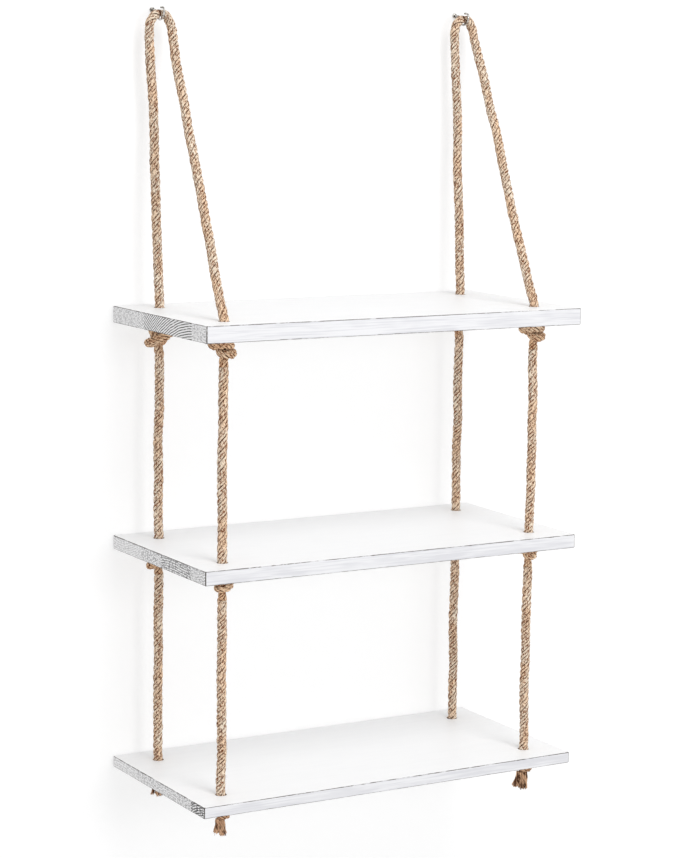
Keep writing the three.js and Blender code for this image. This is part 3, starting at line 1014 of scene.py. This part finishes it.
def eased_edge(places, outs, radius, edge, way):
    """Rows of points from a flat face round its edge to the side, with how worn each row is."""
    radius = np.minimum(radius, edge_limit_share * corner_radius)
    made = []
    for a in quarter:
        inset = radius * (1 - math.sin(a))
        xy = places - outs * inset[:, None]
        z = edge + way * radius * (1 - math.cos(a))
        made.append((np.column_stack([xy, z]), edge_worn[0] + edge_worn[1] * math.sin(2 * a)))
    made.append((np.column_stack([places, edge + way * (radius + below_edge)]), 0.0))
    return made


def hole_rings(low_z, high_z):
    """Radius, height and share inside of each ring of an eased hole, from the top down."""
    eased = [(hole_radius + hole_ease * (1 - math.sin(a)), hole_ease * (1 - math.cos(a)), math.sin(a))
             for a in quarter]
    return ([(r, high_z - drop, deep) for r, drop, deep in eased]
            + [(r, low_z + drop, deep) for r, drop, deep in eased[::-1]])


def flat_faces(points, loops, up):
    """Triangles between a board's outline, which is the first loop, and its holes."""
    order = [i for loop in loops for i in loop]
    edges, start = [], 0
    for loop in loops:
        edges += [(start + i, start + (i + 1) % len(loop)) for i in range(len(loop))]
        start += len(loop)
    flat = [Vector(points[i][:2]) for i in order]
    made = delaunay_2d_cdt(flat, edges, [list(range(len(loops[0])))], 1, merge_distance)
    sources = [order[origin[0]] for origin in made[3]]
    holes = [points[loop].mean(axis=0)[:2] for loop in loops[1:]]
    radii = [np.linalg.norm(points[loop[0]][:2] - hole) for loop, hole in zip(loops[1:], holes)]
    faces = []
    for corners in made[2]:
        a, b, c = (sources[i] for i in corners)
        middle = (points[a] + points[b] + points[c])[:2] / 3
        if any(np.linalg.norm(middle - hole) < radius for hole, radius in zip(holes, radii)):
            continue
        ab, ac = points[b] - points[a], points[c] - points[a]
        if (ab[0] * ac[1] - ab[1] * ac[0] > 0) != up:
            a, b = b, a
        faces.append((a, b, c))
    return faces


def add_board(name, material, seed):
    """A board with worn and bitten edges and four holes. Its flat faces stay flat-shaded."""
    low, high = box_of(f"{name}_board")
    draw = np.random.default_rng(seed)
    places, outs, near_corner = outline_stations(low, high)
    count = len(places)
    bites = [round_noise(draw, count, bite_places) for _ in range(2)]
    edges = []
    for bite, edge, way in zip(bites, (high[2], low[2]), (-1, 1)):
        radius = (edge_radius * (1 + edge_wander * round_noise(draw, count, edge_wander_places))
                  + bite_depth * np.clip(bite - bite_from, 0, 1) + corner_wear * near_corner)
        edges.append(eased_edge(places, outs, radius, edge, way))
    waist = np.column_stack([places, np.full(count, (low[2] + high[2]) / 2)])
    profile = edges[0] + [(waist, 0.0)] + edges[1][::-1]
    points = [row for row, _ in profile]
    worn = [np.maximum(value, near_corner * corner_worn) for _, value in profile]
    inside = [np.zeros(count) for _ in profile]
    faces = []
    for i in range(len(profile) - 1):
        faces += band(i * count, (i + 1) * count, count, inward=True)
    made = len(profile) * count
    top_loops = [list(range(count))]
    low_loops = [list(range(made - count, made))]

    around = np.linspace(0, full_turn, hole_sides, endpoint=False)
    circle = np.column_stack([np.cos(around), np.sin(around)])
    for corner in corner_names:
        hole = hole_place(corner, f"{name}_board")[:2]
        top_loops.append(list(range(made, made + hole_sides)))
        for i, (r, z, deep) in enumerate(hole_rings(low[2], high[2])):
            points.append(np.column_stack([hole + circle * r, np.full(hole_sides, z)]))
            worn.append(np.zeros(hole_sides))
            inside.append(np.full(hole_sides, deep))
            if i:
                faces += band(made - hole_sides, made, hole_sides)
            made += hole_sides
        low_loops.append(list(range(made - hole_sides, made)))
    points = np.concatenate(points)

    faces += flat_faces(points, top_loops, True) + flat_faces(points, low_loops, False)
    piece = new_piece(f"painted_board_{name}", points, faces, material,
                      worn=np.concatenate(worn), inside=np.concatenate(inside))
    rim = {frozenset((loop[i - 1], loop[i])) for loop in top_loops + low_loops for i in range(len(loop))}
    sharp = piece.data.attributes.new("sharp_edge", "BOOLEAN", "EDGE")
    sharp.data.foreach_set("value", [frozenset(edge.vertices) in rim for edge in piece.data.edges])
    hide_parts(f"{name}_board")
    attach(piece, f"{name}_shelf")


for number, name in enumerate(board_staves):
    add_board(name, board_material(name, first_grain + grain_shift * number), board_seed + number)


# Studio: a white wall and floor, which only the camera, gloss and glass see, and soft lamps

def backdrop_material(name):
    """Pale grey with a glow of its own, and clear from behind and to all other light."""
    s = Shading(name, 1.0)
    s.tree.nodes.remove(s.shader)
    grey = (backdrop_grey, backdrop_grey, backdrop_grey, 1)
    both = s.node("ShaderNodeAddShader")
    s.feed(both.inputs[0], s.node("ShaderNodeBsdfDiffuse", Color=grey).outputs[0])
    s.feed(both.inputs[1], s.node("ShaderNodeEmission", Strength=backdrop_glow).outputs[0])
    ray = s.node("ShaderNodeLightPath").outputs
    seen = s.math("MAXIMUM", ray["Is Camera Ray"], ray["Is Glossy Ray"])
    seen = s.math("MAXIMUM", seen, ray["Is Transmission Ray"])
    from_behind = s.node("ShaderNodeNewGeometry").outputs["Backfacing"]
    mix = s.node("ShaderNodeMixShader")
    s.feed(mix.inputs[0], s.math("SUBTRACT", seen, from_behind, clamp=True))
    s.feed(mix.inputs[1], s.node("ShaderNodeBsdfTransparent").outputs[0])
    s.feed(mix.inputs[2], both.outputs[0])
    s.feed(s.tree.nodes["Material Output"].inputs["Surface"], mix.outputs[0])
    return s.material


def add_plane(name, near, far, material):
    """A wide plane between two edges, each with its y and z."""
    reach = backdrop_reach
    mesh = bpy.data.meshes.new(name)
    mesh.from_pydata([(-reach, *near), (reach, *near), (reach, *far), (-reach, *far)], [], [(0, 1, 2, 3)])
    mesh.materials.append(material)
    plane = bpy.data.objects.new(name, mesh)
    bpy.context.scene.collection.objects.link(plane)


def add_lamp(name, place, size, power, colour):
    data = bpy.data.lights.new(name, "AREA")
    data.shape = "DISK"
    data.size = size
    data.energy = power
    data.color = colour
    lamp = bpy.data.objects.new(name, data)
    lamp.location = place
    lamp.rotation_mode = "QUATERNION"
    lamp.rotation_quaternion = (Vector(lamp_target) - Vector(place)).to_track_quat("-Z", "Y")
    bpy.context.scene.collection.objects.link(lamp)


backdrop = backdrop_material("pale_backdrop")
add_plane("wall", (wall_y, floor_z), (wall_y, backdrop_reach), backdrop)
add_plane("floor", (-backdrop_reach, floor_z), (backdrop_reach, floor_z), backdrop)
add_lamp("key", (0.3, -3.1, 0.0), 0.9, 16.5, (1, 0.99, 0.98))
add_lamp("sky", (0.1, -2.1, 1.9), 1.5, 29, (1, 1, 1))

world = bpy.data.worlds.new("studio")
bpy.context.scene.world = world
world.use_nodes = True
background = world.node_tree.nodes["Background"]
background.inputs["Color"].default_value = world_colour
background.inputs["Strength"].default_value = world_strength
bpy.context.scene.view_settings.view_transform = "Standard"
